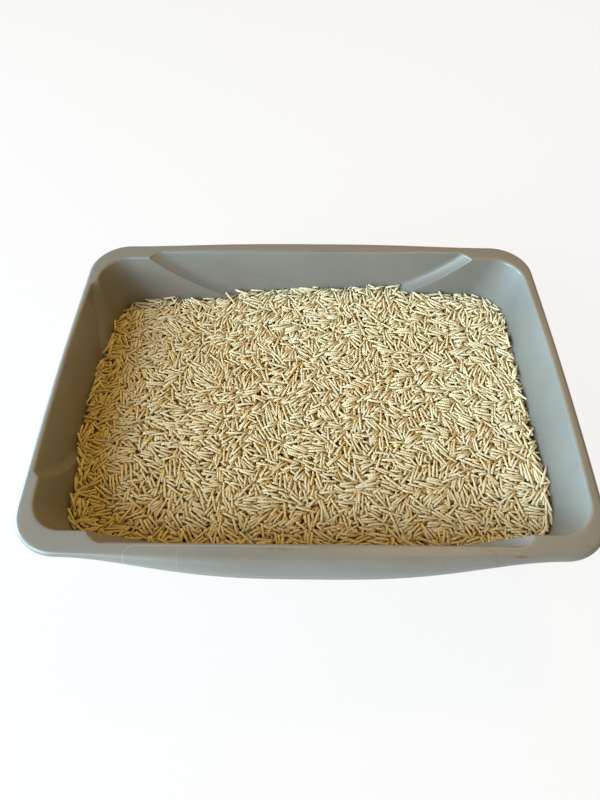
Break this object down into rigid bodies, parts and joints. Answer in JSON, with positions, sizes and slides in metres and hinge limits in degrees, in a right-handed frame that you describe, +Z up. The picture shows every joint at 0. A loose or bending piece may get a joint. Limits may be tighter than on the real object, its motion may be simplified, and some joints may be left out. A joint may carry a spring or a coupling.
{
  "type": "filled cat litter tray",
  "caption": "Open moulded plastic cat litter tray with a broad rim, hand grips front and back and arched wall panels, holding a bed of loose rod-shaped litter pellets.",
  "frame": {"origin": "under the middle of the tray's floor, on the surface that it stands on", "axes": "+X along the long side, +Y from the near grip to the far grip, +Z up"},
  "size_m": [0.47, 0.375, 0.125],
  "materials": {
    "tray_plastic": "satin moulded, warm grey",
    "litter_pellets": "dry and matt, cream plant fibre"
  },
  "bodies": {
    "root": {"tray": "tray_plastic", "litter_bed": "litter_pellets"}
  },
  "joints": []
}
